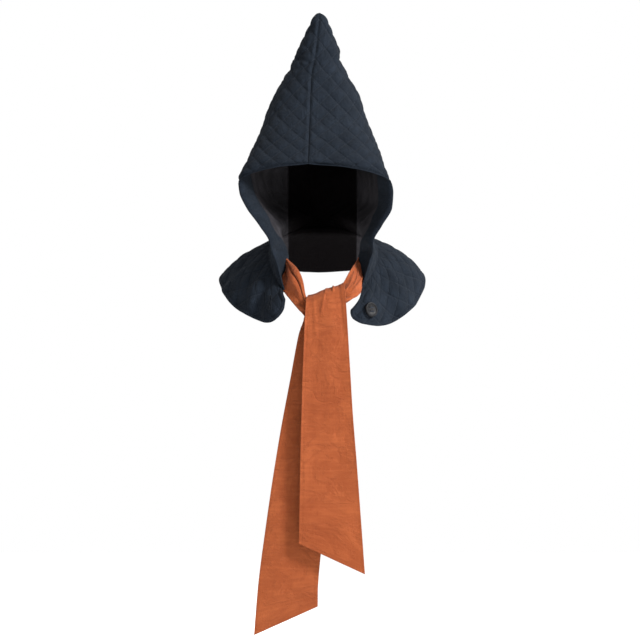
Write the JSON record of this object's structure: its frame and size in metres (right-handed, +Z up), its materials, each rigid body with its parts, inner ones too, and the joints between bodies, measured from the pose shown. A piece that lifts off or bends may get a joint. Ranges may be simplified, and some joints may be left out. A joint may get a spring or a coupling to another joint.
{
  "type": "wizard hat",
  "caption": "Pointed wizard hood of diamond-quilted dark cloth with a flared cape collar, a coat button and long knotted scarf ties at the throat.",
  "frame": {"origin": "where the crown of the wearer's head touches the inside of the hood", "axes": "+Z up through the crown and the hood's point, -Y out of the face opening, +X towards the button"},
  "size_m": [0.3097, 0.2635, 0.9285],
  "materials": {
    "navy_quilting": "diamond-quilted matt cotton",
    "black_lining": "smooth dark lining",
    "navy_facing": "matt cotton",
    "rust_cotton": "crinkled matt cotton",
    "dark_horn": "satin",
    "navy_thread": "twisted thread"
  },
  "bodies": {
    "root": {"hood_panel_left": "navy_quilting", "hood_panel_right": "navy_quilting", "collar": "navy_quilting", "hood_lining": "black_lining", "collar_lining": "black_lining", "face_facing_left": "navy_facing", "face_facing_right": "navy_facing", "tie_left": "rust_cotton", "tie_right": "rust_cotton", "button": "dark_horn", "button_thread_upper": "navy_thread", "button_thread_lower": "navy_thread"}
  },
  "joints": []
}
